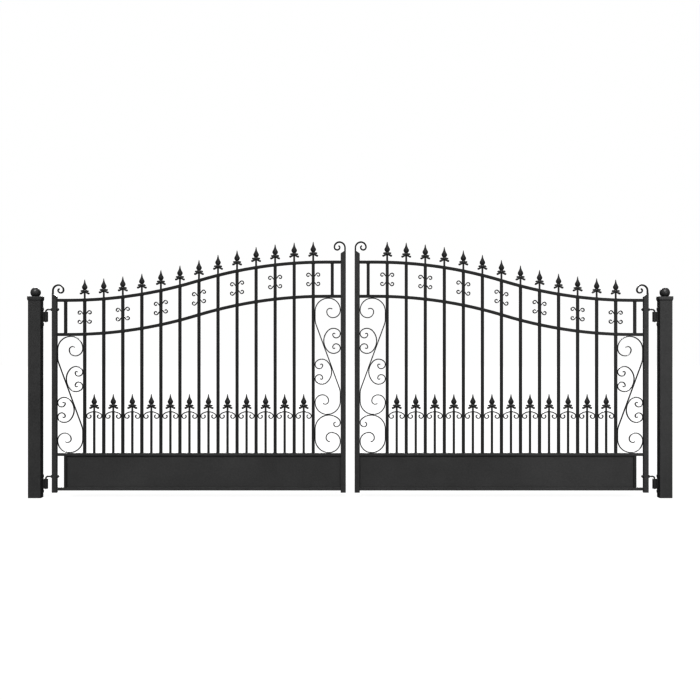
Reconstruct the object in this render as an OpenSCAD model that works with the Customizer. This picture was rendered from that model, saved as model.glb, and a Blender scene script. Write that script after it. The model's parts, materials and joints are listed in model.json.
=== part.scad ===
// Double-leaf ornamental iron driveway gate between two square posts.
// Both leaves hang on J-bolts that turn in barrels on the posts, and meet in the middle.
// Millimetres, +X along the gate, +Y inwards, +Z up, origin under the left post's foot.

/* [Posts] */
// Width of each square post tube
post_w = 90; // [80:1:100]
// Wall of the post tube
post_wall = 3; // [2:0.5:5]
// Height of the post tube, up to its cap
post_h = 1409; // [1380:1:1600]
// How far the cap stands out past the post's faces
cap_overhang = 5; // [3:0.5:8]
// Height of the cap casting below its ball
cap_h = 31; // [24:1:40]
// Diameter of the ball on the cap
ball_d = 75; // [66:1:84]

/* [Leaf frame] */
// Width of one leaf over its two stiles
leaf_w = 2102; // [1900:1:2300]
// Gap between the two lock stiles
centre_gap = 65; // [30:1:100]
// Width of the square stile tubes
stile_w = 35; // [32:1:40]
// Height of the stiles' lower ends above the ground
stile_foot = 36; // [20:1:45]
// Top edge of the hinge stile above the centre of the upper rail
hinge_stile_rise = 52; // [45:1:80]
// Top edge of the lock stile above the centre of the upper rail
lock_stile_rise = 86; // [45:1:110]
// Drop of the slanted stile tops towards the leaf
stile_slant = 25; // [15:1:30]
// Thickness and depth of the square rails
rail_w = 20; // [16:1:24]
// Centre height of the lower curved rail at the hinge stile
lower_rail_z = 1167; // [1100:1:1250]
// Distance between the two curved rails
band_h = 245; // [220:1:280]
// Radius of the two bends of a curved rail
rail_r = 3160; // [2800:10:3800]
// Level stretch of a curved rail at the hinge stile
hinge_flat = 80; // [40:1:140]
// Level stretch of a curved rail at the lock stile
lock_flat = 112; // [40:1:140]
// Centre height of the rail over the kick panel
panel_rail_z = 308; // [280:1:340]
// Centre height of the bottom rail
bottom_rail_z = 61; // [56:1:80]
// Thickness of the kick panel's sheet
panel_t = 3; // [2:0.5:6]

/* [Bars] */
// Width of the square pickets
picket_w = 20; // [16:1:24]
// Number of pickets on a leaf
picket_count = 13; // [9:2:15]
// Clear width of the scroll bays beside the stiles
end_bay = 187.5; // [180:0.5:200]
// Width of the square short pickets
short_w = 14; // [10:1:16]
// Corner chamfer of the picket and rail tubes
bar_edge = 1.5; // [0.5:0.5:3]
// Corner chamfer of the post and stile tubes
frame_edge = 2.5; // [1:0.5:4]

/* [Spears] */
// Tip of a picket spear above the centre of the upper rail
spear_rise = 147; // [140:1:165]
// Tip of a short picket spear above the crown of its collar
short_spear_rise = 127; // [122:1:140]
// Depth of the spear's blade from front to back
blade_depth = 22; // [16:1:30]
// Thickness of the flares below the blade
flare_t = 11; // [8:1:14]
// Diameter of the spear's shank
shank_d = 12; // [10:0.5:13]

/* [Scrolls] */
// Thickness of the scroll bars, seen from the front
scroll_t = 6; // [5:0.5:8]
// Depth of the scroll bars
scroll_depth = 12; // [8:1:16]
// Height of the collars' crown line above the ground
collar_z = 614; // [580:1:660]
// Thickness of the finial bars
finial_t = 9.5; // [6:0.5:11]
// Depth of the finial bars
finial_depth = 16; // [12:1:20]
// Top of a finial above the top edge of its stile
finial_h = 62; // [56:1:80]

/* [Hinges] */
// Distance from the post's face to the hinge axis
hinge_offset = 28; // [27:0.5:34]
// Distance from the hinge axis to the hinge stile
stile_offset = 46; // [40:1:60]
// Height of the upper hinge bolt
upper_hinge_z = 1346; // [1250:1:1360]
// Height of the lower hinge bolt
lower_hinge_z = 151; // [145:1:240]
// Diameter of the hinge bolts
bolt_d = 10; // [8:0.5:12]
// Radius of the hinge bolts' bend
bolt_bend = 16; // [14:1:20]
// Outer diameter of the hinge barrels
barrel_d = 30; // [26:1:32]
// Height of the hinge barrels
barrel_h = 70; // [50:1:80]
// Height of the bracket plates on the posts
plate_h = 136; // [126:1:150]

/* [Hidden] */

// Clearances: a scroll beside the bar that it is welded to, and a pin in its bore
seat_gap = 0.3;
pin_gap = 0.05;
// How deep two scrolls run into each other at a weld, and how far a bend starts inside the one before it
weld = 0.6;
lap = 0.5;
// Share of its section that a scroll loses at each bend
draw_down = 0.02;

// Plan of the gate
hinge_gap = hinge_offset + stile_offset;
half_span = post_w / 2 + hinge_gap + leaf_w + centre_gap / 2;
left_leaf_x = post_w / 2 + hinge_gap;
right_leaf_x = 2 * half_span - left_leaf_x;
lock_face = leaf_w - stile_w;

// Picket rhythm, measured from the outer face of the hinge stile
first_picket = stile_w + end_bay + picket_w / 2;
last_picket = leaf_w - first_picket;
pitch = (last_picket - first_picket) / (picket_count - 1);
spacer_x = first_picket - pitch;
function picket_x(i) = first_picket + i * pitch;
function short_x(i) = first_picket + (i + 0.5) * pitch;

// Curved rails: level at both stiles, with two equal bends between, and a rise in round hundredths
rail_from = stile_w + hinge_flat;
rail_to = lock_face - lock_flat;
half_run = (rail_to - rail_from) / 2;
rail_mid = rail_from + half_run;
rail_angle = asin(half_run / rail_r);
rail_rise = round(200 * rail_r * (1 - cos(rail_angle))) / 100;
upper_rail_z = lower_rail_z + band_h;
// Height of a curved rail's centre line at x, and its slope there
function bend_x(x) = max(0, x < rail_mid ? x - rail_from : rail_to - x);
function bend_z(x) = rail_r - sqrt(rail_r * rail_r - pow(bend_x(x), 2));
function rail_z(x, z) = x < rail_mid ? z + bend_z(x) : z + rail_rise - bend_z(x);
function rail_slope(x) = tan(asin(bend_x(x) / rail_r));

// Levels
panel_top = panel_rail_z + rail_w / 2;
panel_foot = bottom_rail_z + rail_w / 2;
hinge_top = upper_rail_z + hinge_stile_rise;
lock_top = upper_rail_z + rail_rise + lock_stile_rise;

// Facets of round things, and of the long rail arcs
$fn = 64;
rail_fn = 720;

// Colours of the satin black coat
iron = [0.16, 0.16, 0.17];
iron_dark = [0.11, 0.11, 0.12];

// Places children on the left leaf, or mirrored on the right one
module on_leaf(side) {
    x = side == "left" ? left_leaf_x : right_leaf_x;
    flip = side == "left" ? 0 : 1;
    translate([x, 0, 0]) mirror([flip, 0, 0]) children();
}

// Places children on the left post, or mirrored on the right one
module on_post(side) {
    x = side == "left" ? 0 : 2 * half_span;
    flip = side == "left" ? 0 : 1;
    translate([x, 0, 0]) mirror([flip, 0, 0]) children();
}

// Section of a square tube with chamfered corners
module tube_section(w, edge) {
    h = w / 2;
    f = h - edge;
    polygon([[f, -h], [h, -f], [h, f], [f, h], [-f, h], [-h, f], [-h, -f], [-f, -h]]);
}

// Upright bar between two heights
module upright(x, z0, z1, w, edge) {
    translate([x, 0, z0]) linear_extrude(z1 - z0) tube_section(w, edge);
}

// Level bar between two places along the leaf
module level_bar(x0, x1, z, w, edge) {
    translate([x0, 0, z]) rotate([90, 0, 90]) linear_extrude(x1 - x0) tube_section(w, edge);
}

// Turns the flat drawing of a thing seen from the front into a plate of the given depth
module standing(depth) {
    rotate([90, 0, 0]) linear_extrude(depth, center = true) children();
}

// Ring sector in the plane of the gate, with its section drawn around the centre line
module arc_bar(centre, r, from, sweep) {
    translate([centre[0], 0, centre[1]]) rotate([90, 0, 0]) rotate([0, 0, from])
        rotate_extrude(angle = sweep) translate([r, 0]) children();
}

// Curved rail made of its two arcs and its level ends, with its section as child
module curved_rail(z) {
    $fn = rail_fn;
    translate([stile_w, 0, z]) rotate([0, 90, 0]) linear_extrude(hinge_flat) children();
    arc_bar([rail_from, z + rail_r], rail_r, -90, rail_angle) children();
    arc_bar([rail_to, z + rail_rise - rail_r], rail_r, 90, rail_angle) children();
    translate([rail_to, 0, z + rail_rise]) rotate([0, 90, 0]) linear_extrude(lock_flat) children();
}

// Room that a curved rail takes out of the bars that end on it
module rail_room(z) {
    curved_rail(z) square([rail_w, 2 * rail_w], center = true);
}

// A scroll is a list of steps: [turn in degrees, radius], or [0, length] for a straight stretch.
// A pose is [x, z, heading], and left turns are positive.
function side_of(turn) = turn > 0 ? 1 : -1;
function turn_centre(p, s) = [
    p[0] - side_of(s[0]) * s[1] * sin(p[2]),
    p[1] + side_of(s[0]) * s[1] * cos(p[2])
];
function straight_on(p, s) = [p[0] + s[1] * cos(p[2]), p[1] + s[1] * sin(p[2]), p[2]];
function round_on(p, s, c) = [
    c[0] + side_of(s[0]) * s[1] * sin(p[2] + s[0]),
    c[1] - side_of(s[0]) * s[1] * cos(p[2] + s[0]),
    p[2] + s[0]
];
function next_pose(p, s) = s[0] == 0 ? straight_on(p, s) : round_on(p, s, turn_centre(p, s));
function pose_at(start, steps, i) = i == 0 ? start : next_pose(pose_at(start, steps, i - 1), steps[i - 1]);

// Straight flat bar from a pose
module straight_bar(p, length, t, depth) {
    translate([p[0], 0, p[1]]) rotate([0, -p[2], 0]) translate([0, -depth / 2, -t / 2])
        cube([length, depth, t]);
}

// Flat bar bent along the steps from a starting pose. Each step is drawn down a little smaller than the
// one before, and starts inside it.
module scroll_bar(start, steps, t, depth) {
    for (i = [0 : len(steps) - 1]) {
        p = pose_at(start, steps, i);
        s = steps[i];
        drawn = 1 - draw_down * (i + 1);
        if (s[0] == 0)
            straight_bar(straight_on(p, [0, -lap]), s[1] + lap, t * drawn, depth * drawn);
        else {
            lap_angle = lap / s[1] * 180 / PI;
            from = s[0] > 0 ? p[2] - 90 - lap_angle : p[2] + 90 + s[0];
            arc_bar(turn_centre(p, s), s[1], from, abs(s[0]) + lap_angle)
                square([t * drawn, depth * drawn], center = true);
        }
    }
}

// Right-hand curl in quarter turns
function curl(radii, turn = -90) = [for (r = radii) [turn, r]];

// Square post tube, open at the foot
module post(side) {
    inner_edge = frame_edge / 2;
    color(iron_dark) on_post(side) linear_extrude(post_h) difference() {
        tube_section(post_w, frame_edge);
        tube_section(post_w - 2 * post_wall, inner_edge);
    }
}

// Outline of the cap from any side: a flared lip over the post and a low pyramid to the ball
module cap_outline() {
    foot = post_w / 2 + cap_overhang / 3;
    lip = post_w / 2 + cap_overhang;
    lip_from = cap_h * 0.32;
    lip_to = cap_h * 0.95;
    top = ball_d / 4;
    polygon([
        [-foot, 0], [foot, 0], [lip, lip_from], [lip, lip_to],
        [top, cap_h], [-top, cap_h], [-lip, lip_to], [-lip, lip_from]
    ]);
}

// Post cap casting with its ball
module post_cap(side) {
    ball_sunk = 10;
    color(iron) on_post(side) translate([0, 0, post_h]) union() {
        intersection() {
            standing(2 * post_w) cap_outline();
            rotate([0, 0, 90]) standing(2 * post_w) cap_outline();
        }
        translate([0, 0, cap_h + ball_d / 2 - ball_sunk]) sphere(d = ball_d);
    }
}

// One bracket: a plate with two bolt heads on the post, and a barrel on a web
module hinge_bracket(z) {
    plate_t = 5;
    plate_w = 50;
    head_w = 17;
    head_h = 7;
    web_w = 18;
    head_z = plate_h / 2 - 14;
    barrel_top = z - bolt_bend - 1;
    mid_z = barrel_top - barrel_h / 2;
    translate([post_w / 2, 0, mid_z]) difference() {
        union() {
            translate([0, -plate_w / 2, -plate_h / 2]) cube([plate_t, plate_w, plate_h]);
            translate([0, -web_w / 2, -barrel_h / 2]) cube([hinge_offset, web_w, barrel_h]);
            translate([hinge_offset, 0, -barrel_h / 2]) cylinder(d = barrel_d, h = barrel_h);
            for (s = [-1, 1])
                translate([0, 0, s * head_z]) rotate([0, 90, 0])
                    cylinder(d = head_w / cos(30), h = plate_t + head_h, $fn = 6);
        }
        translate([hinge_offset, 0, -barrel_h])
            cylinder(d = bolt_d + 2 * pin_gap, h = 2 * barrel_h);
    }
}

// Both brackets of a post
module hinge_brackets(side) {
    color(iron) on_post(side) {
        hinge_bracket(upper_hinge_z);
        hinge_bracket(lower_hinge_z);
    }
}

// One J-bolt: a pin in the barrel, a bend, and a leg through the stile with a nut on either side
module hinge_bolt(z) {
    nut_w = 19;
    nut_h = 9;
    end_h = 5;
    pin_h = barrel_h + bolt_bend + 4;
    leg = stile_offset + stile_w + nut_h + end_h;
    translate([-stile_offset, 0, z]) {
        translate([0, 0, -pin_h]) cylinder(d = bolt_d, h = pin_h - bolt_bend);
        arc_bar([bolt_bend, -bolt_bend], bolt_bend, 90, 90) circle(d = bolt_d);
        translate([bolt_bend, 0, 0]) rotate([0, 90, 0]) cylinder(d = bolt_d, h = leg - bolt_bend);
        for (x = [stile_offset - nut_h, stile_offset + stile_w])
            translate([x, 0, 0]) rotate([0, 90, 0])
                cylinder(d = nut_w / cos(30), h = nut_h, $fn = 6);
    }
}

// Both hinge bolts of a leaf
module hinge_bolts(side) {
    color(iron) on_leaf(side) {
        hinge_bolt(upper_hinge_z);
        hinge_bolt(lower_hinge_z);
    }
}

// Stile that stands at x = 0 with its highest edge there, cut on a slant
module slanted_stile(top) {
    difference() {
        upright(stile_w / 2, stile_foot, top, stile_w, frame_edge);
        standing(2 * stile_w) polygon([
            [0, top], [stile_w, top - stile_slant], [stile_w, top + 1], [0, top + 1]
        ]);
    }
}

// Stile at the hinges, bored for both bolts
module hinge_stile(side) {
    color(iron) on_leaf(side) difference() {
        slanted_stile(hinge_top);
        for (z = [upper_hinge_z, lower_hinge_z])
            translate([-1, 0, z]) rotate([0, 90, 0])
                cylinder(d = bolt_d + 2 * pin_gap, h = stile_w + 2);
    }
}

// Stile at the middle of the gate
module lock_stile(side) {
    color(iron) on_leaf(side) translate([leaf_w, 0, 0]) mirror([1, 0, 0])
        slanted_stile(lock_top);
}

module upper_rail(side) {
    color(iron) on_leaf(side) curved_rail(upper_rail_z) tube_section(rail_w, bar_edge);
}

module lower_rail(side) {
    color(iron) on_leaf(side) curved_rail(lower_rail_z) tube_section(rail_w, bar_edge);
}

module panel_rail(side) {
    color(iron) on_leaf(side) level_bar(stile_w, lock_face, panel_rail_z, rail_w, bar_edge);
}

module bottom_rail(side) {
    color(iron) on_leaf(side) level_bar(stile_w, lock_face, bottom_rail_z, rail_w, bar_edge);
}

// Upright that closes the kick panel, short of the hinge stile
module panel_end_bar(side) {
    color(iron) on_leaf(side)
        upright(spacer_x, panel_foot, panel_rail_z - rail_w / 2, picket_w, bar_edge);
}

// Sheet between the two lower rails
module kick_panel(side) {
    x0 = spacer_x + picket_w / 2;
    color(iron_dark) on_leaf(side) translate([x0, -panel_t / 2, panel_foot])
        cube([lock_face - x0, panel_t, panel_rail_z - rail_w / 2 - panel_foot]);
}

// Pickets from the panel rail up to the lower curved rail
module pickets(side) {
    color(iron) on_leaf(side) difference() {
        for (i = [0 : picket_count - 1])
            upright(picket_x(i), panel_top, rail_z(picket_x(i), lower_rail_z), picket_w, bar_edge);
        rail_room(lower_rail_z);
    }
}

// Pickets and end spacers between the two curved rails
module band_bars(side) {
    color(iron) on_leaf(side) difference() {
        for (i = [-1 : picket_count])
            upright(picket_x(i), rail_z(picket_x(i), lower_rail_z), rail_z(picket_x(i), upper_rail_z),
                picket_w, bar_edge);
        rail_room(lower_rail_z);
        rail_room(upper_rail_z);
    }
}

// Half outline of the spear's blade, as depth below the tip
blade_half = [
    [0, 0], [1.8, 0], [5.5, -25], [11, -39], [17.5, -51],
    [20, -59], [17.5, -67], [9.5, -78], [0, -84]
];
blade_w = 40;

// Half outline of the two flares below the blade, and their rounded ends as x, z and radius
flare_half = [
    [0, -76], [8, -77.5], [22, -80.5], [22, -91.5], [19, -94],
    [26.5, -97.2], [25.5, -109.5], [12, -103], [6, -100], [0, -100]
];
flare_ends = [[22.5, -86, 6], [28, -103.5, 7]];

// Spear casting with its tip at the given height above its foot
module spear(h) {
    bead_d = 21;
    bead_z = -88;
    shank_top = -80;
    translate([0, 0, h]) union() {
        scale([1, blade_depth / blade_w, 1]) rotate_extrude($fn = 4) polygon(blade_half);
        standing(flare_t) for (s = [0, 1]) mirror([s, 0]) {
            polygon(flare_half);
            for (end = flare_ends)
                translate([end[0], end[1]]) circle(r = end[2]);
        }
        translate([0, 0, bead_z]) sphere(d = bead_d);
        translate([0, 0, -h]) cylinder(d = shank_d, h = h + shank_top);
    }
}

// Spears that stand on the upper rail over the pickets
module picket_spears(side) {
    color(iron) on_leaf(side) difference() {
        for (i = [0 : picket_count - 1])
            translate([picket_x(i), 0, rail_z(picket_x(i), upper_rail_z)]) spear(spear_rise);
        rail_room(upper_rail_z);
    }
}

// Collar scroll: a flat arch over a short picket, with both ends curled in beside the pickets
collar_bend = 36.87;
collar_radii = [17.2, 14.5, 8.6];
collar_reach = pitch / 2 - picket_w / 2 - seat_gap - scroll_t / 2;
collar_r = (collar_reach - collar_radii[0] * (1 - sin(collar_bend))) / sin(collar_bend);
collar_spring = [collar_r * sin(collar_bend), collar_r * (cos(collar_bend) - 1)];
collar_curl = concat(
    [[collar_bend - 180, collar_radii[0]]],
    curl([collar_radii[1], collar_radii[2]])
);

module collar() {
    arc_bar([0, -collar_r], collar_r, 90 - collar_bend, 2 * collar_bend)
        square([scroll_t, scroll_depth], center = true);
    for (s = [0, 1])
        mirror([s, 0, 0])
            scroll_bar([collar_spring[0], collar_spring[1], -collar_bend], collar_curl,
                scroll_t, scroll_depth);
}

module collar_scrolls(side) {
    color(iron) on_leaf(side) for (i = [0 : picket_count - 2])
        translate([short_x(i), 0, collar_z]) collar();
}

// Short pickets reach the underside of the collars' crown
short_top = collar_z - collar_r + sqrt(pow(collar_r - scroll_t / 2, 2) - pow(short_w / 2, 2));

module short_pickets(side) {
    color(iron) on_leaf(side) for (i = [0 : picket_count - 2])
        upright(short_x(i), panel_top, short_top, short_w, bar_edge);
}

module short_spears(side) {
    foot = collar_z + scroll_t / 2;
    color(iron) on_leaf(side) for (i = [0 : picket_count - 2])
        translate([short_x(i), 0, foot]) spear(short_spear_rise - scroll_t / 2);
}

// Butterfly: four arms on every other picket, which leave its sides on a slant and curl outwards. The pair
// on either side follows the slope of the rails.
arm_slant = 50;
arm_foot = 12;
arm_steps = [[0, 37], [-90 - arm_slant, 13], [-90, 10], [-90, 7]];
arm_reach = 30;

module butterfly_arm() {
    difference() {
        scroll_bar([0, arm_foot, arm_slant], arm_steps, scroll_t, scroll_depth);
        translate([-picket_w / 2, -picket_w, 0]) cube([picket_w, 2 * picket_w, 4 * arm_foot]);
    }
}

module butterfly_scrolls(side) {
    color(iron) on_leaf(side) for (i = [0 : 2 : picket_count - 1], s = [0, 1], h = [0, 1]) {
        x = picket_x(i);
        tilt = (1 - 2 * s) * arm_reach * rail_slope(x);
        translate([x, 0, rail_z(x, lower_rail_z) + band_h / 2 + tilt])
            mirror([s, 0, 0]) mirror([0, 0, h]) butterfly_arm();
    }
}

// S scroll of an end bay, drawn from its centre: it touches both sides, the rail and the panel rail
s_radii = [95, 54, 43, 24];
s_last_turn = -130;
s_blend = 110;
s_width = end_bay - 2 * seat_gap - scroll_t;
s_room = rail_z(stile_w + s_radii[0], lower_rail_z) - rail_w / 2 - panel_top;
s_height = s_room - 2 * seat_gap - scroll_t;
// Where its straight would meet the side of the bay, above the centre, and the blend arc there
s_side = s_height / 2 - s_radii[0];
s_corner = 0.765 * s_side;
s_tilt = atan(s_width / 2 / s_corner);
s_heading = 90 + s_tilt;
s_tangent = s_blend * tan(s_tilt / 2);
s_straight = norm([s_width / 2, s_corner]) - s_tangent;
s_steps = concat(
    [[-s_tilt, s_blend], [0, s_side - s_corner - s_tangent]],
    curl([s_radii[0], s_width - s_radii[0], s_radii[1], s_radii[2]]),
    [[s_last_turn, s_radii[3]]]
);

// C scroll between the straight of the S and the far side of the bay: a round back with a curl at each end
c_back_r = 103.7;
c_back_bend = 45;
c_steps = [[-90, 56], [c_back_bend - 180, 30.5], [-90, 24], [-150, 9]];
c_spring = [c_back_r * (1 - cos(c_back_bend)), c_back_r * sin(c_back_bend), 90 - c_back_bend];
c_reach = pose_at(c_spring, c_steps, 1)[0] + c_steps[1][1] * (1 - cos(c_back_bend));
c_x = s_width / 2 - c_reach;
c_rise = (c_back_r + scroll_t - weld - (c_x + c_back_r) * sin(s_heading)) / -cos(s_heading);

module bay_c() {
    back_depth = scroll_depth * (1 - draw_down / 2);
    arc_bar([c_back_r, 0], c_back_r, 180 - c_back_bend, 2 * c_back_bend)
        square([scroll_t, back_depth], center = true);
    for (s = [0, 1])
        mirror([0, 0, s]) scroll_bar(c_spring, c_steps, scroll_t, scroll_depth);
}

// S scroll with its two C scrolls, around the middle of its bay
module bay_scrolls() {
    s_end = straight_on([0, 0, s_heading], [0, s_straight]);
    s_start = straight_on(s_end, [0, -2 * s_straight]);
    straight_bar(s_start, 2 * s_straight, scroll_t, scroll_depth);
    for (a = [0, 180]) rotate([0, a, 0]) {
        scroll_bar(s_end, s_steps, scroll_t, scroll_depth);
        translate([c_x, 0, c_rise]) bay_c();
    }
}

bay_z = panel_top + seat_gap + scroll_t / 2 + s_height / 2;
// How much higher the same S sits in the lock bay, where it touches the rail on its falling side
lock_touch_x = lock_face - end_bay + s_radii[0];
lock_lift = rail_z(lock_touch_x, lower_rail_z) - rail_z(stile_w + s_radii[0], lower_rail_z);

module hinge_bay_scrolls(side) {
    color(iron) on_leaf(side) translate([stile_w + end_bay / 2, 0, bay_z]) bay_scrolls();
}

// Tall C scroll under the S of the lock bay: a large curl on the panel rail, a small one at the top
foot_radii = [99.5, 63, 39, 26.5];
tip_radii = [36, 28.6, 18.6, 13];
tip_bend = 45;
tip_r = (s_width - tip_radii[0] * (1 - sin(tip_bend))) / (1 + sin(tip_bend));
foot_height = lock_lift - scroll_t + weld * 2;
foot_back = foot_height - foot_radii[0] - tip_r;
foot_curl = curl(
    [foot_radii[0], s_width - foot_radii[0], foot_radii[1], foot_radii[2], foot_radii[3]],
    90
);
tip_curl = concat(
    [[-90 - tip_bend, tip_r], [tip_bend - 90, tip_radii[0]]],
    curl([tip_radii[1], tip_radii[2], tip_radii[3]])
);

module foot_scroll() {
    straight_bar([0, 0, 90], foot_back, scroll_t, scroll_depth);
    scroll_bar([0, 0, -90], foot_curl, scroll_t, scroll_depth);
    scroll_bar([0, foot_back, 90], tip_curl, scroll_t, scroll_depth);
}

module lock_bay_scrolls(side) {
    x0 = lock_face - end_bay;
    bar_off = seat_gap + scroll_t / 2;
    color(iron) on_leaf(side) union() {
        translate([x0 + end_bay / 2, 0, bay_z + lock_lift]) bay_scrolls();
        translate([x0 + bar_off, 0, panel_top + bar_off + foot_radii[0]]) foot_scroll();
    }
}

// Finial on the outer edge of a stile, curled in over the leaf
finial_radii = [40, 36, 20, 18.5, 9.5];

module finial(top) {
    low = top - stile_slant;
    straight = finial_h + stile_slant - finial_radii[0] - finial_t / 2;
    steps = concat([[0, straight]], curl(finial_radii));
    difference() {
        scroll_bar([finial_t / 2, low, 90], steps, finial_t, finial_depth);
        standing(2 * stile_w) polygon([
            [-1, low - stile_slant], [stile_w, low - stile_slant], [stile_w, low], [0, top], [-1, top]
        ]);
    }
}

module stile_finials(side) {
    color(iron) on_leaf(side) {
        finial(hinge_top);
        translate([leaf_w, 0, 0]) mirror([1, 0, 0]) finial(lock_top);
    }
}

post("left");  // left_post
post("right");  // right_post
post_cap("left");  // left_post_cap
post_cap("right");  // right_post_cap
hinge_brackets("left");  // left_hinge_brackets
hinge_brackets("right");  // right_hinge_brackets
hinge_stile("left");  // left_hinge_stile
hinge_stile("right");  // right_hinge_stile
lock_stile("left");  // left_lock_stile
lock_stile("right");  // right_lock_stile
upper_rail("left");  // left_upper_rail
upper_rail("right");  // right_upper_rail
lower_rail("left");  // left_lower_rail
lower_rail("right");  // right_lower_rail
panel_rail("left");  // left_panel_rail
panel_rail("right");  // right_panel_rail
bottom_rail("left");  // left_bottom_rail
bottom_rail("right");  // right_bottom_rail
kick_panel("left");  // left_kick_panel
kick_panel("right");  // right_kick_panel
panel_end_bar("left");  // left_panel_end_bar
panel_end_bar("right");  // right_panel_end_bar
pickets("left");  // left_pickets
pickets("right");  // right_pickets
band_bars("left");  // left_band_bars
band_bars("right");  // right_band_bars
picket_spears("left");  // left_picket_spears
picket_spears("right");  // right_picket_spears
short_pickets("left");  // left_short_pickets
short_pickets("right");  // right_short_pickets
short_spears("left");  // left_short_spears
short_spears("right");  // right_short_spears
collar_scrolls("left");  // left_collar_scrolls
collar_scrolls("right");  // right_collar_scrolls
butterfly_scrolls("left");  // left_butterfly_scrolls
butterfly_scrolls("right");  // right_butterfly_scrolls
hinge_bay_scrolls("left");  // left_hinge_bay_scrolls
hinge_bay_scrolls("right");  // right_hinge_bay_scrolls
lock_bay_scrolls("left");  // left_lock_bay_scrolls
lock_bay_scrolls("right");  // right_lock_bay_scrolls
stile_finials("left");  // left_stile_finials
stile_finials("right");  // right_stile_finials
hinge_bolts("left");  // left_hinge_bolts
hinge_bolts("right");  // right_hinge_bolts
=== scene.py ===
# %% [markdown]
# # A double driveway gate in black iron
# Two leaves of square tube hang between two square posts. Flat bar bent into scrolls fills
# the bays beside the stiles, and cast spears stand on the bars. The measured solids are
# loaded first and never moved: this lesson gives them their finish, swaps the plain castings
# for finer ones, and adds the small things that a maker would weld and screw on.

# %% Load the measured gate
import json
import math

import bmesh
import bpy
from mathutils import Matrix, Vector


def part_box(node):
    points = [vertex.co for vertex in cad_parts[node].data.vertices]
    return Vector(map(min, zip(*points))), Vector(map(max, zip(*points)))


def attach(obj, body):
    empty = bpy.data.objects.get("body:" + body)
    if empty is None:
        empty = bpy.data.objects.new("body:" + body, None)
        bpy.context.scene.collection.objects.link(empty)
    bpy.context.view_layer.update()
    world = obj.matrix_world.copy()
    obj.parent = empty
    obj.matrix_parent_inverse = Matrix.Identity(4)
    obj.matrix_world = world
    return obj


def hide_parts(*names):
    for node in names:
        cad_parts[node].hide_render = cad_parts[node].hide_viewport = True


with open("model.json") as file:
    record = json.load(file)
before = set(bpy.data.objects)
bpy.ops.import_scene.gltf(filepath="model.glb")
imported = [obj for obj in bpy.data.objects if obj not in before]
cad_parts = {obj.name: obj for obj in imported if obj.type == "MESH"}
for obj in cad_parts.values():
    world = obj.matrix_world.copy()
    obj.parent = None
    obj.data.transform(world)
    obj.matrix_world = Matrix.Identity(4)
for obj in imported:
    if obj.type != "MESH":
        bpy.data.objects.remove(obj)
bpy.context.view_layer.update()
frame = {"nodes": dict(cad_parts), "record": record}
nodes = frame["nodes"]

# %% [markdown]
# ## The viewpoint
# The gate is seen square on, from about ten metres away and at chest height, so both posts
# show a little of their inner side and no line of the bars converges. The lens gives a
# 700 by 700 picture with the whole gate in its width.

# %% Camera
GATE_MIDDLE = 2.252
EYE_HEIGHT = 1.056
DISTANCE = 10.03

camera_data = bpy.data.cameras.new("viewpoint")
camera_data.lens = 72
camera_data.sensor_width = 36
camera = bpy.data.objects.new("viewpoint", camera_data)
camera.location = (GATE_MIDDLE, -DISTANCE, EYE_HEIGHT)
camera.rotation_euler = (math.radians(90), 0, 0)
scene = bpy.context.scene
scene.collection.objects.link(camera)
scene.camera = camera
print("camera at", tuple(round(v, 3) for v in camera.location))

# %% [markdown]
# ## The floor
# A pale floor runs far enough to meet the white air behind it. A plain one would have to be
# lit until it is white, and so much light would eat into the thin bars. So the camera sees it
# as even white with a breath of shade, and in mirror reflections it is dim, so that the sides
# of the bars don't gleam. Every other ray finds plain pale paint.

# %% Floor
FLOOR_HALF = 80
FLOOR_DROP = 0.001


def link_mesh(name, bm):
    """A new object at the origin from a bmesh, which is freed."""
    mesh = bpy.data.meshes.new(name)
    bm.to_mesh(mesh)
    bm.free()
    made = bpy.data.objects.new(name, mesh)
    scene.collection.objects.link(made)
    return made


bm = bmesh.new()
bmesh.ops.create_grid(bm, x_segments=1, y_segments=1, size=FLOOR_HALF)
bmesh.ops.translate(bm, verts=bm.verts, vec=(GATE_MIDDLE, 0, -FLOOR_DROP))
floor = link_mesh("studio_floor", bm)
print("floor half width", FLOOR_HALF)

# %% Floor paint
MIRROR_GLOW = 0.08
SHADE_SHARE = 0.08


def join(tree, a, out, b, into):
    """Links one node's output to another's input."""
    tree.links.new(a.outputs[out], b.inputs[into])


def either(tree, ray, kind, other, other_out, chosen, chosen_out):
    """One shader for rays of a kind, and another for the rest."""
    choice = tree.nodes.new("ShaderNodeMixShader")
    join(tree, ray, kind, choice, 0)
    join(tree, other, other_out, choice, 1)
    join(tree, chosen, chosen_out, choice, 2)
    return choice


paint = bpy.data.materials.new("pale_floor")
paint.use_nodes = True
floor.data.materials.append(paint)
tree = paint.node_tree
pale = tree.nodes["Principled BSDF"]
pale.inputs["Base Color"].default_value = (0.55, 0.55, 0.55, 1)
pale.inputs["Roughness"].default_value = 0.9
pale.inputs["Specular IOR Level"].default_value = 0.1
dim = tree.nodes.new("ShaderNodeEmission")
dim.inputs["Strength"].default_value = MIRROR_GLOW
white = tree.nodes.new("ShaderNodeEmission")
white.inputs["Color"].default_value = (1, 1, 1, 1)
shaded = tree.nodes.new("ShaderNodeMixShader")
shaded.inputs[0].default_value = SHADE_SHARE
join(tree, white, "Emission", shaded, 1)
join(tree, pale, "BSDF", shaded, 2)

ray = tree.nodes.new("ShaderNodeLightPath")
mirrored = either(tree, ray, "Is Glossy Ray", pale, "BSDF", dim, "Emission")
whole = either(tree, ray, "Is Camera Ray", mirrored, "Shader", shaded, "Shader")
join(tree, whole, "Shader", tree.nodes["Material Output"], "Surface")
print("floor paint has", len(tree.nodes), "nodes")

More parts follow.
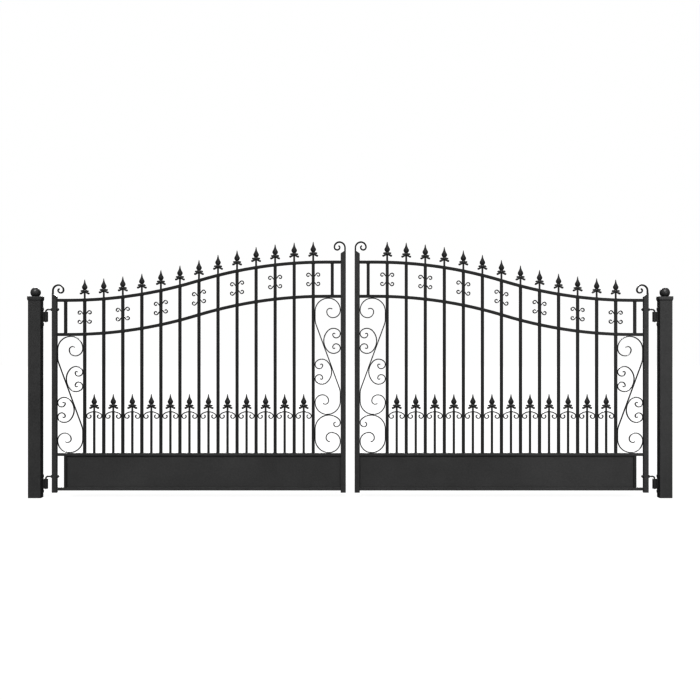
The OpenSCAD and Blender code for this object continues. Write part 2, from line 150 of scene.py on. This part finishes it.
# %% [markdown]
# ## Air and light
# The air is brightest in front of the gate and dim behind it, and one large soft light stands
# high in front, so front faces read as dark grey, the rail over the panel throws a soft line
# of shade, and the sides of the bars stay nearly black. A low light shows the back, and a
# broad window of light off to the right makes that end a little paler than the other. The
# view's gamma gives the steep tone curve of a product picture: white stays white and thin
# bars read as boldly as thick ones.

# %% Studio air
VIEW_GAMMA = 0.6


def ramp(tree, source, out, low, high, low_value, high_value):
    """Maps a range of values onto another, held at its ends."""
    step = tree.nodes.new("ShaderNodeMapRange")
    step.inputs["From Min"].default_value = low
    step.inputs["From Max"].default_value = high
    step.inputs["To Min"].default_value = low_value
    step.inputs["To Max"].default_value = high_value
    join(tree, source, out, step, "Value")
    return step


def combine(tree, operation, a, b):
    """Adds or multiplies what two ramps give."""
    node = tree.nodes.new("ShaderNodeMath")
    node.operation = operation
    join(tree, a, "Result", node, 0)
    join(tree, b, "Result", node, 1)
    return node


scene.view_settings.view_transform = "Standard"
scene.view_settings.gamma = VIEW_GAMMA
air = bpy.data.worlds.new("studio_air")
air.use_nodes = True
scene.world = air
tree = air.node_tree
tree.nodes.clear()
place = tree.nodes.new("ShaderNodeTexCoord")
way = tree.nodes.new("ShaderNodeSeparateXYZ")
join(tree, place, "Generated", way, "Vector")
front_glow = ramp(tree, way, "Y", 0.25, -0.9, 0.1, 0.8)
top_glow = ramp(tree, way, "Z", 0.2, 1.0, 0.0, 0.5)
soft = tree.nodes.new("ShaderNodeBackground")
soft.inputs["Color"].default_value = (1, 1, 1, 1)
join(tree, combine(tree, "ADD", front_glow, top_glow), "Value", soft, "Strength")
plain = tree.nodes.new("ShaderNodeBackground")
plain.inputs["Color"].default_value = (1, 1, 1, 1)
ray = tree.nodes.new("ShaderNodeLightPath")
whole = either(tree, ray, "Is Camera Ray", soft, "Background", plain, "Background")
output = tree.nodes.new("ShaderNodeOutputWorld")
join(tree, whole, "Shader", output, "Surface")
print("air has", len(tree.nodes), "nodes")


# %% Lights
def hang_light(name, kind, energy, tilt, turn):
    """A light that leans by a tilt from straight down and swings by a turn, in degrees."""
    data = bpy.data.lights.new(name, kind)
    data.energy = energy
    made = bpy.data.objects.new(name, data)
    made.rotation_euler = (math.radians(tilt), 0, math.radians(turn))
    scene.collection.objects.link(made)
    return made


front_light = hang_light("front_light", "SUN", energy=6.05, tilt=41, turn=-6)
front_light.data.angle = math.radians(25)
back_fill = hang_light("back_fill", "SUN", energy=4.4, tilt=-60, turn=0)
back_fill.data.angle = math.radians(40)
side_window = hang_light("side_window", "AREA", energy=95, tilt=90, turn=21)
side_window.data.size = 2.0
side_window.location = (6.2, -5.2, 1.6)
side_window.visible_camera = False

# %% [markdown]
# ## The black coat
# Such a gate is shot-blasted and powder coated: a satin black skin with a faint orange-peel
# ripple, a little uneven in gloss, and a breath of dust where rain leaves it on level faces.
# Each of these could be painted by hand, but noise on the piece's own metres needs no picture
# and fits every piece. One function mixes the coat, and each group of pieces gets its own
# strength of ripple and shade: smooth on tube and sheet, coarser over the castings, and a
# shade deeper on the slim bars, which read darker than broad faces when seen against white.

# %% Mottle, dust and ripple
EASED_EDGE = 0.0012
RIPPLE_HEIGHT = 0.0006


def noise(tree, place, scale, detail, rough):
    """A noise texture on the piece's own metres."""
    grain = tree.nodes.new("ShaderNodeTexNoise")
    grain.inputs["Scale"].default_value = scale
    grain.inputs["Detail"].default_value = detail
    grain.inputs["Roughness"].default_value = rough
    join(tree, place, "Object", grain, "Vector")
    return grain


def mottle(tree, place, shade):
    """A grey around a mean shade: slow clouds times fine specks."""
    cloud = noise(tree, place, 2.3, 5, 0.6)
    tone = ramp(tree, cloud, "Fac", 0.3, 0.7, shade * 0.9, shade * 1.1)
    speck = noise(tree, place, 85, 3, 0.6)
    fleck = ramp(tree, speck, "Fac", 0.35, 0.75, 0.9, 1.12)
    return combine(tree, "MULTIPLY", tone, fleck)


def dust_cover(tree, place, dust):
    """How much dust lies: in patches, and only on faces that look up."""
    facing = tree.nodes.new("ShaderNodeNewGeometry")
    upward = tree.nodes.new("ShaderNodeSeparateXYZ")
    join(tree, facing, "Normal", upward, "Vector")
    level = ramp(tree, upward, "Z", 0.55, 1.0, 0.0, dust)
    patch = noise(tree, place, 26, 4, 0.65)
    lying = ramp(tree, patch, "Fac", 0.42, 0.7, 0.15, 1.0)
    return combine(tree, "MULTIPLY", level, lying)


def orange_peel(tree, place, scale, depth):
    """The coat's ripple, running over edges that its thickness has eased."""
    peel = noise(tree, place, scale, 2, 0.5)
    eased = tree.nodes.new("ShaderNodeBevel")
    eased.samples = 4
    eased.inputs["Radius"].default_value = EASED_EDGE
    bump = tree.nodes.new("ShaderNodeBump")
    bump.inputs["Strength"].default_value = depth
    bump.inputs["Distance"].default_value = RIPPLE_HEIGHT
    join(tree, eased, "Normal", bump, "Normal")
    join(tree, peel, "Fac", bump, "Height")
    return bump


print("ripple is", RIPPLE_HEIGHT, "m high at full strength")

# %% Coat
DUST_COLOUR = (0.16, 0.15, 0.135, 1)
COLOUR_A, COLOUR_B, COLOUR_OUT = 6, 7, 2


def coat(name, shade, gloss, ripple_scale, ripple_depth, dust, shine):
    """Satin black powder coat: shade is its mean grey, gloss its mean roughness."""
    material = bpy.data.materials.new(name)
    material.use_nodes = True
    tree = material.node_tree
    skin = tree.nodes["Principled BSDF"]
    skin.inputs["Specular IOR Level"].default_value = shine
    place = tree.nodes.new("ShaderNodeTexCoord")

    grey = mottle(tree, place, shade)
    black = tree.nodes.new("ShaderNodeCombineColor")
    for channel in ("Red", "Green", "Blue"):
        join(tree, grey, "Value", black, channel)
    mix = tree.nodes.new("ShaderNodeMix")
    mix.data_type = "RGBA"
    mix.inputs[COLOUR_B].default_value = DUST_COLOUR
    join(tree, dust_cover(tree, place, dust), "Value", mix, "Factor")
    join(tree, black, "Color", mix, COLOUR_A)
    join(tree, mix, COLOUR_OUT, skin, "Base Color")

    sheen = noise(tree, place, 14, 4, 0.55)
    worn = ramp(tree, sheen, "Fac", 0.3, 0.7, gloss - 0.07, gloss + 0.08)
    join(tree, worn, "Result", skin, "Roughness")
    peel = orange_peel(tree, place, ripple_scale, ripple_depth)
    join(tree, peel, "Normal", skin, "Normal")
    return material


print("dust colour", DUST_COLOUR[:3])

# %% Coat every node
SHEEN = 0.24
COATS = {  # shade, gloss, ripple scale, ripple depth, dust, shine
    "post_coat": (0.043, 0.46, 420, 0.25, 0.10, SHEEN),
    "cap_casting": (0.046, 0.42, 190, 0.45, 0.04, 0.32),
    "frame_coat": (0.0435, 0.44, 430, 0.25, 0.12, SHEEN),
    "picket_coat": (0.027, 0.44, 430, 0.25, 0.12, SHEEN),
    "spear_casting": (0.030, 0.38, 210, 0.50, 0.10, 0.4),
    "scroll_coat": (0.020, 0.44, 380, 0.30, 0.12, SHEEN),
    "panel_coat": (0.0445, 0.47, 400, 0.22, 0.05, SHEEN),
    "hinge_coat": (0.034, 0.40, 260, 0.40, 0.10, SHEEN),
}
SLIM_COAT = (0.028, 0.44, 430, 0.25, 0.12, SHEEN)
SLIM_NODES = ("upper_rail", "lower_rail", "panel_end_bar")

finishes = {name: coat(name, *values) for name, values in COATS.items()}
slim_frame = coat("slim_frame_coat", *SLIM_COAT)
slot_of = {s["node"]: s["material_slot"] for s in frame["record"]["subparts"]}
for name, node in nodes.items():
    node.data.materials.clear()
    slim = name.endswith(SLIM_NODES)
    node.data.materials.append(slim_frame if slim else finishes[slot_of[name]])
print(len(nodes), "nodes coated in", len(finishes) + 1, "finishes")

# %% [markdown]
# ## Where the pieces stand
# The pickets follow one rhythm along a leaf, and the curved rails are two equal bends between
# short level ends. The same few numbers place every casting and weld, and the right leaf is
# the left one in a mirror. Lengths here are in millimetres, turned into metres once.

# %% Rhythm of a leaf
MM = 0.001
SIDES = ("left", "right")
LEAF_X = 119
SPAN = 4507
LEAF_W = 2102
STILE_W = 35
BAR_HALF = 10
FIRST_PICKET = 232.5
PICKETS = 13
PITCH = (LEAF_W - 2 * FIRST_PICKET) / (PICKETS - 1)
MIRROR_X = Matrix.Scale(-1, 4, (1, 0, 0))


def picket_x(i):
    """Place of a picket along its leaf; halves fall on the short pickets."""
    return FIRST_PICKET + i * PITCH


def on_leaf(side):
    """Matrix from a leaf's millimetres to the gate's metres."""
    place = Matrix.Translation((LEAF_X, 0, 0))
    if side == "right":
        place = Matrix.Translation((SPAN - LEAF_X, 0, 0)) @ MIRROR_X
    return Matrix.Scale(MM, 4) @ place


print("pickets every", round(PITCH, 2), "mm")

# %% Line of the curved rails
RAIL_R = 3160
RAIL_FROM = 115
RAIL_TO = 1955
RAIL_MID = (RAIL_FROM + RAIL_TO) / 2
LOWER_Z = 1167
UPPER_Z = 1412


def rail_drop(x):
    """Distance from the nearer level end of a curved rail, and the drop there."""
    run = max(0, x - RAIL_FROM if x < RAIL_MID else RAIL_TO - x)
    return run, RAIL_R - math.sqrt(RAIL_R * RAIL_R - run * run)


RAIL_RISE = 2 * rail_drop(RAIL_MID)[1]


def rail_z(x, z):
    """Height of a curved rail's centre line over a place on the leaf."""
    drop = rail_drop(x)[1]
    return z + drop if x < RAIL_MID else z + RAIL_RISE - drop


def rail_slope(x):
    """Slope of the curved rails over a place on the leaf."""
    return math.tan(math.asin(rail_drop(x)[0] / RAIL_R))


rail_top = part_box("left_upper_rail")[1][2]
reckoned = (UPPER_Z + RAIL_RISE + BAR_HALF) * MM
print("rail top measured", round(rail_top, 4), "reckoned", round(reckoned, 4))

# %% [markdown]
# ## Spear castings
# Each tall and short bar carries a cast spear: a four-sided blade with softened ridges, a pair
# of rounded leaves on either side and a bead where they spring from the shank. The blade is a
# square ring drawn up through the widths of its outline, and its ridges are bevelled. The
# leaves are one flat outline with a pillowed edge. One casting is modelled, then stamped.

# %% Blade
BLADE = [  # height below the tip, half width
    (-80, 1.5), (-74.5, 9.5), (-64, 17.5), (-56, 20), (-48.5, 17.8), (-37.5, 11.5),
    (-24, 6), (-3, 2.2), (0, 1.0),
]
BLADE_FLATNESS = 0.55
RIDGE_EASE = 0.7


def verts_of(geom):
    """The vertices in what an operator made."""
    return [g for g in geom if isinstance(g, bmesh.types.BMVert)]


def edges_of(geom):
    """The edges in what an operator made."""
    return [g for g in geom if isinstance(g, bmesh.types.BMEdge)]


def draw_up(rings, flatness, sides):
    """A closed tube through square or round rings, each given as height and half width."""
    bm = bmesh.new()
    bmesh.ops.create_circle(bm, cap_ends=True, segments=sides, radius=1)
    ways = [(v, v.co.x, v.co.y) for v in bm.verts]
    edges = list(bm.edges)
    for i, (z, half) in enumerate(rings):
        if i:
            grown = bmesh.ops.extrude_edge_only(bm, edges=edges)["geom"]
            edges = edges_of(grown)
            last = rings[i - 1][1]
            ways = [(v, v.co.x / last, v.co.y / last / flatness) for v in verts_of(grown)]
        for v, x, y in ways:
            v.co = (x * half, y * half * flatness, z)
    bmesh.ops.holes_fill(bm, edges=edges, sides=0)
    return bm


def ease(bm, edges, width, segments, clamp):
    """Rounds edges off by a width."""
    bmesh.ops.bevel(
        bm, geom=edges, offset=width, offset_type="OFFSET", segments=segments, profile=0.5,
        affect="EDGES", clamp_overlap=clamp, material=-1,
    )


def keep_mesh(name, bm):
    """A mesh with outward normals from a bmesh, which is freed."""
    bmesh.ops.recalc_face_normals(bm, faces=bm.faces)
    mesh = bpy.data.meshes.new(name)
    bm.to_mesh(mesh)
    bm.free()
    return mesh


bm = draw_up(BLADE, BLADE_FLATNESS, 4)
ridges = [e for e in bm.edges if abs(e.verts[0].co.z - e.verts[1].co.z) > 1]
ease(bm, ridges, RIDGE_EASE, 2, False)
blade = keep_mesh("blade_shape", bm)
print("blade faces", len(blade.polygons))

# %% Leaves
LEAF_T = 11
LEAF_PILLOW = 2.2
LEAF_ENDS = [(22.5, -82.5, 6, 95, -75), (28, -100, 7, 105, -112)]
LEAF_TOP = [(8, -74)]
LEAF_NOTCH = [(19, -90.5)]
LEAF_FOOT = [(12, -99.5), (6, -96.5)]


def round_end(x, z, r, start, stop, steps=7):
    """Points around a rounded leaf end, from a start angle to a stop angle."""
    turns = [math.radians(start + (stop - start) * k / steps) for k in range(steps + 1)]
    return [(x + r * math.cos(a), z + r * math.sin(a)) for a in turns]


upper_end, lower_end = (round_end(*end) for end in LEAF_ENDS)
one_side = LEAF_TOP + upper_end + LEAF_NOTCH + lower_end + LEAF_FOOT
outline = one_side + [(-x, z) for x, z in reversed(one_side)]
bm = bmesh.new()
flat = bm.faces.new([bm.verts.new((x, -LEAF_T / 2, z)) for x, z in outline])
grown = bmesh.ops.extrude_face_region(bm, geom=[flat])["geom"]
bmesh.ops.translate(bm, verts=verts_of(grown), vec=(0, LEAF_T, 0))
rims = [e for e in bm.edges if abs(e.verts[0].co.y - e.verts[1].co.y) < 1]
ease(bm, rims, LEAF_PILLOW, 3, True)
leaves = keep_mesh("leaf_shape", bm)
print("leaf faces", len(leaves.polygons))

# %% Bead, shank and the whole casting
BEAD = [(-94.5, 5), (-93, 8), (-89.5, 10), (-84.5, 10.8), (-79.5, 10), (-76, 8), (-74.5, 5)]
SHANK_R = 6
SHANK = [(-102, SHANK_R), (-88, 6.4), (-76, 6.4)]
SPEAR_RISE = 147
SHORT_RISE = 127
TALL_SEAT = 4
SHORT_SEAT = 2


def stamp(bm, shape, matrix):
    """Adds a copy of a finished shape, placed by a matrix."""
    before = len(bm.verts)
    bm.from_mesh(shape)
    bm.verts.ensure_lookup_table()
    bmesh.ops.transform(bm, matrix=matrix, verts=bm.verts[before:])


def spear(name, foot):
    """One casting with its tip at height zero and its shank down to the foot."""
    bm = draw_up([(foot, SHANK_R)] + SHANK, 1, 12)
    for shape in (blade, leaves, bead):
        stamp(bm, shape, Matrix())
    return keep_mesh(name, bm)


bead = keep_mesh("bead_shape", draw_up(BEAD, 1, 16))
tall = spear("tall_spear", TALL_SEAT - SPEAR_RISE)
short = spear("short_spear", SHORT_SEAT - SHORT_RISE)
print("faces of one casting", len(tall.polygons))

# %% Stand the castings on both leaves
COLLAR_Z = 614
CASTING_CREASE = 40


def finish_piece(name, bm, slot, body, *replaced):
    """Links a piece, coats it, and lets it ride with its body."""
    bmesh.ops.recalc_face_normals(bm, faces=bm.faces)
    piece = link_mesh(name, bm)
    piece.data.materials.append(finishes[slot])
    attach(piece, body)
    if replaced:
        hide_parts(*replaced)
    return piece


def soften(piece, crease):
    """Smooth shading over edges gentler than a crease in degrees, sharp over the others."""
    for face in piece.data.polygons:
        face.use_smooth = True
    piece.data.set_sharp_from_angle(angle=math.radians(crease))


def stand(side, name, shape, tips, replaced):
    """One piece of all the castings whose tips are given, for a leaf."""
    bm = bmesh.new()
    for x, z in tips:
        stamp(bm, shape, on_leaf(side) @ Matrix.Translation((x, 0, z)))
    made = finish_piece(side + name, bm, "spear_casting", side + "_leaf", side + replaced)
    soften(made, CASTING_CREASE)


bar_places = [picket_x(i) for i in range(PICKETS)]
short_places = [picket_x(i + 0.5) for i in range(PICKETS - 1)]
tall_tips = [(x, rail_z(x, UPPER_Z) + SPEAR_RISE) for x in bar_places]
short_tips = [(x, COLLAR_Z + SHORT_RISE) for x in short_places]
for side in SIDES:
    stand(side, "_tall_castings", tall, tall_tips, "_picket_spears")
    stand(side, "_short_castings", short, short_tips, "_short_spears")
    print(side, "castings stand on the leaf")

# %% [markdown]
# ## Post caps
# A cap is a thin iron casting that drops over the post, with a flared foot, an upright lip and
# a ball. The square body is drawn up ring by ring and its edges are eased as a mould eases
# them; the ball is an arc spun once around the post's axis.

# %% Cap body and ball
CAP = [(0, 46.67), (9.9, 50), (29.4, 50), (31, 18.75)]  # height, half width
CAP_EASE = 1.2
BALL_R = 36.5
BALL_Z = 58.5
ARC_STEPS = 24
BALL_STEPS = 40


def spin_round(bm, points, steps):
    """Spins a line of points once around the upright axis."""
    line = [bm.edges.new(pair) for pair in zip(points, points[1:])]
    bmesh.ops.spin(
        bm, geom=points + line, cent=(0, 0, 0), axis=(0, 0, 1), angle=math.tau, steps=steps,
        use_merge=True,
    )


bm = draw_up([(z, half * math.sqrt(2)) for z, half in CAP], 1, 4)
corner_turn = Matrix.Rotation(math.radians(45), 3, "Z")
bmesh.ops.rotate(bm, verts=bm.verts, cent=(0, 0, 0), matrix=corner_turn)
ease(bm, list(bm.edges), CAP_EASE, 2, True)
cap_body = keep_mesh("cap_shape", bm)

bm = bmesh.new()
arc = []
for k in range(ARC_STEPS + 1):
    a = math.radians(-90 + 180 * k / ARC_STEPS)
    arc.append(bm.verts.new((BALL_R * math.cos(a), 0, BALL_Z + BALL_R * math.sin(a))))
spin_round(bm, arc, BALL_STEPS)
bmesh.ops.remove_doubles(bm, verts=bm.verts, dist=0.01)
ball = keep_mesh("ball_shape", bm)
print("ball faces", len(ball.polygons))

# %% Set the caps on the posts
POST_H = 1409
CAP_CREASE = 12

for side, x in zip(SIDES, (0, SPAN)):
    bm = bmesh.new()
    for shape in (cap_body, ball):
        stamp(bm, shape, Matrix.Scale(MM, 4) @ Matrix.Translation((x, 0, POST_H)))
    made = finish_piece(side + "_ball_cap", bm, "cap_casting", "posts", side + "_post_cap")
    soften(made, CAP_CREASE)
    print(side, "cap set")

# %% [markdown]
# ## Welds
# Every bar is welded to the rail that it ends on. On tubes of equal width the fillets lie in
# the two corners beside the bar; under the thinner bars and the spear shanks they run all
# round. A fillet is one small corner face, drawn on step by step and scaled up and down by
# turns, so that it swells and shrinks as a run of weld pools does.

# %% Fillets in the corners beside a bar
WELD_CORNER = [(-0.4, -0.4), (1.0, -0.4), (0.62, 0.62), (-0.4, 1.0)]
POOL_NECK = 0.78
MIRROR_Z = Matrix.Scale(-1, 4, (0, 0, 1))


def fillet(length, size, pools):
    """A run of weld along Y in the corner between a wall at x = 0 and a floor at z = 0."""
    bm = bmesh.new()
    thin = size * POOL_NECK
    end = [bm.verts.new((x * thin, -length / 2, z * thin)) for x, z in WELD_CORNER]
    edges = list(bm.faces.new(end).edges)
    for k in range(2 * pools):
        grown = bmesh.ops.extrude_edge_only(bm, edges=edges)["geom"]
        edges = edges_of(grown)
        swell = POOL_NECK if k % 2 else 1 / POOL_NECK
        bmesh.ops.scale(bm, vec=(swell, 1, swell), verts=verts_of(grown))
        bmesh.ops.translate(bm, vec=(0, length / (2 * pools), 0), verts=verts_of(grown))
    bmesh.ops.holes_fill(bm, edges=edges, sides=0)
    return keep_mesh("fillet_shape", bm)


def beside_bar(bm, shape, place, x, half, height, line):
    """Fillets on both sides of a bar that ends at a height above or below a line."""
    for sign, turn in ((1, Matrix()), (-1, MIRROR_X)):
        upright = turn if height > 0 else turn @ MIRROR_Z
        at = x + sign * half
        stamp(bm, shape, place @ Matrix.Translation((at, 0, line(at) + height)) @ upright)


corner_weld = fillet(17, 3.2, 4)
thin_weld = fillet(13, 3.0, 3)
print("faces of one fillet", len(corner_weld.polygons))

# %% Fillets around the shanks
RING_STEPS = 16
RING = [(SHANK_R - 0.4, 3.2), (SHANK_R + 1.9, 1.7), (SHANK_R + 3, -1.5)]  # radius, height


def sheared(slope):
    """Leans a ring along the rail: its height grows with x."""
    lean = Matrix()
    lean[2][0] = slope
    return lean


bm = bmesh.new()
spin_round(bm, [bm.verts.new((r, 0, z)) for r, z in RING], RING_STEPS)
shank_weld = keep_mesh("shank_weld_shape", bm)
print("faces of one ring", len(shank_weld.polygons))

# %% Lay the welds
PANEL_TOP = 318
ON_TOP = 0.01
SHORT_HALF = 7
COLLAR_HALF = 3
WELD_CREASE = 50


def panel_line(x):
    """The level top of the rail over the kick panel."""
    return PANEL_TOP


def lower_line(x):
    """The lower curved rail's centre line."""
    return rail_z(x, LOWER_Z)


def upper_line(x):
    """The upper curved rail's centre line."""
    return rail_z(x, UPPER_Z)


def weld_picket(bm, place, x):
    """Welds at both ends of a tall picket, and under the spear that stands over it."""
    beside_bar(bm, corner_weld, place, x, BAR_HALF, -BAR_HALF, lower_line)
    beside_bar(bm, corner_weld, place, x, BAR_HALF, ON_TOP, panel_line)
    top = Matrix.Translation((x, 0, upper_line(x) + BAR_HALF))
    stamp(bm, shank_weld, place @ top @ sheared(rail_slope(x)))


def weld_short(bm, place, x):
    """Welds around the foot of a short picket, and under the spear on its collar."""
    beside_bar(bm, thin_weld, place, x, SHORT_HALF, ON_TOP, panel_line)
    foot = Matrix.Translation((x, 0, PANEL_TOP))
    for quarter in (90, 270):
        turn = Matrix.Rotation(math.radians(quarter), 4, "Z")
        stamp(bm, thin_weld, place @ foot @ turn @ Matrix.Translation((SHORT_HALF, 0, 0)))
    stamp(bm, shank_weld, place @ Matrix.Translation((x, 0, COLLAR_Z + COLLAR_HALF)))


for side in SIDES:
    place = on_leaf(side)
    bm = bmesh.new()
    for i in range(-1, PICKETS + 1):
        beside_bar(bm, corner_weld, place, picket_x(i), BAR_HALF, BAR_HALF, lower_line)
        beside_bar(bm, corner_weld, place, picket_x(i), BAR_HALF, -BAR_HALF, upper_line)
    for x in bar_places:
        weld_picket(bm, place, x)
    for x in short_places:
        weld_short(bm, place, x)
    made = finish_piece(side + "_bar_welds", bm, "picket_coat", side + "_leaf")
    soften(made, WELD_CREASE)
    print(side, "welds", len(made.data.polygons), "faces")

# %% [markdown]
# ## Tacks on the scrolls
# A scroll touches its neighbours only where it bulges against them, and there the smith tacks
# it with a short run of weld in front and behind. The same runs hold the sheet of the kick
# panel, in stitches along its back where nobody sees them from the street.

# %% Tacks
SCROLL_HALF = 6
STAND_UP = Matrix.Rotation(math.radians(90), 4, "X")
MIRROR_Y = Matrix.Scale(-1, 4, (0, 1, 0))

tack = fillet(12, 2.4, 3)


def tack_on(bm, place, x, z, faces_right):
    """Tacks in front of and behind a scroll, on the side face of the bar at x."""
    turn = Matrix() if faces_right else MIRROR_X
    for depth, front in ((-SCROLL_HALF, Matrix()), (SCROLL_HALF, MIRROR_Y)):
        at = Matrix.Translation((x, depth, z))
        stamp(bm, tack, place @ at @ turn @ front @ STAND_UP)


print("faces of one tack", len(tack.polygons))

# %% Stitches
FIRST_STITCH = 240
STITCH_STEP = 200
STITCHES = 9
PANEL_BACK = 1.5
PANEL_LOW = 71
PANEL_HIGH = 298
LIE_ALONG = Matrix.Rotation(math.radians(90), 4, "Z")

stitch = fillet(30, 3.0, 6)


def stitch_panel(bm, place):
    """Stitches along the lower and upper edge of the kick panel's back."""
    for k in range(STITCHES):
        for z, turn in ((PANEL_LOW, Matrix()), (PANEL_HIGH, MIRROR_Z)):
            at = Matrix.Translation((FIRST_STITCH + STITCH_STEP * k, PANEL_BACK, z))
            stamp(bm, stitch, place @ at @ turn @ LIE_ALONG)


print("stitches on a panel", 2 * STITCHES)

# %% Tack both leaves
COLLAR_TOUCH = COLLAR_Z - 29.8
BAY_W = 187.5
BAY_Z = 737.5
LOCK_LIFT = 273.7
BAYS = ((STILE_W, 0), (LEAF_W - STILE_W - BAY_W, LOCK_LIFT))
S_TOUCHES = [(0, 293), (1, 330), (1, -293), (0, -330)]  # far side or not, height
C_TOUCHES = [(1, 162), (1, 59), (0, -162), (0, -59)]

for side in SIDES:
    place = on_leaf(side)
    bm = bmesh.new()
    for near, far in zip(bar_places, bar_places[1:]):
        tack_on(bm, place, near + BAR_HALF, COLLAR_TOUCH, True)
        tack_on(bm, place, far - BAR_HALF, COLLAR_TOUCH, False)
    for x, lift in BAYS:
        for far, z in S_TOUCHES + C_TOUCHES:
            tack_on(bm, place, x + far * BAY_W, BAY_Z + lift + z, not far)
    stitch_panel(bm, place)
    made = finish_piece(side + "_scroll_tacks", bm, "scroll_coat", side + "_leaf")
    soften(made, WELD_CREASE)
    print(side, "tacks", len(made.data.polygons), "faces")

# %% [markdown]
# ## Hinge bolts
# Each leaf hangs on two J-bolts: round bar bent once, its pin turning in the barrel on the
# post and its threaded leg clamped through the stile between two nuts. A ring is drawn up the
# pin, spun through the bend and drawn on along the leg, swelling and shrinking where the
# thread shows. Nuts are six-sided with eased corners, on washers.

# %% Bent bolts with threads
BOLT_R = 5
BOLT_SIDES = 16
BEND_R = 16
BEND_STEPS = 10
PIN_X = -46
PIN_LENGTH = 90
THREAD_DEPTH = 0.5
THREAD_STEP = 0.75
THREADS = [(-16, -9), (44, 48.5)]


def draw_on(bm, edges, x, radius):
    """Draws the open ring on along X, to a place and a radius."""
    grown = bmesh.ops.extrude_edge_only(bm, edges=edges)["geom"]
    for v in verts_of(grown):
        out = Vector((0, v.co.y, v.co.z)).normalized() * radius
        v.co = (x, out.y, out.z)
    return edges_of(grown)


bm = bmesh.new()
bmesh.ops.create_circle(bm, cap_ends=True, segments=BOLT_SIDES, radius=BOLT_R)
bmesh.ops.translate(bm, verts=bm.verts, vec=(PIN_X, 0, -PIN_LENGTH))
ring = bmesh.ops.extrude_edge_only(bm, edges=list(bm.edges))["geom"]
bmesh.ops.translate(bm, verts=verts_of(ring), vec=(0, 0, PIN_LENGTH - BEND_R))
bent = bmesh.ops.spin(
    bm, geom=verts_of(ring) + edges_of(ring), cent=(PIN_X + BEND_R, 0, -BEND_R), axis=(0, 1, 0),
    angle=math.radians(90), steps=BEND_STEPS,
)["geom_last"]
edges = edges_of(bent)
for start, stop in THREADS:
    edges = draw_on(bm, edges, start, BOLT_R)
    for k in range(1, int((stop - start) / THREAD_STEP) + 1):
        depth = THREAD_DEPTH if k % 2 else 0
        edges = draw_on(bm, edges, start + k * THREAD_STEP, BOLT_R - depth)
bmesh.ops.holes_fill(bm, edges=edges, sides=0)
rod = keep_mesh("rod_shape", bm)
print("faces of one bolt", len(rod.polygons))

# %% Hang the bolts
NUT = [(2, 9.7), (3, 10.97), (8, 10.97), (9, 9.7)]  # height, half width
WASHER = [(0, 12.4), (0.5, 13), (1.6, 13), (2, 12.6)]
HINGE_Z = (1346, 151)
BOLT_CREASE = 35
OUTWARD = Matrix.Rotation(math.radians(-90), 4, "Y")
INWARD = Matrix.Translation((STILE_W, 0, 0)) @ Matrix.Rotation(math.radians(90), 4, "Y")

nut = keep_mesh("nut_shape", draw_up(NUT, 1, 6))
washer = keep_mesh("washer_shape", draw_up(WASHER, 1, 24))
for side in SIDES:
    bm = bmesh.new()
    for z in HINGE_Z:
        at = on_leaf(side) @ Matrix.Translation((0, 0, z))
        stamp(bm, rod, at)
        for shape in (nut, washer):
            stamp(bm, shape, at @ OUTWARD)
            stamp(bm, shape, at @ INWARD)
    made = finish_piece(
        side + "_bent_bolts", bm, "hinge_coat", side + "_leaf", side + "_hinge_bolts"
    )
    soften(made, BOLT_CREASE)
    print(side, "bolts", len(made.data.polygons), "faces")
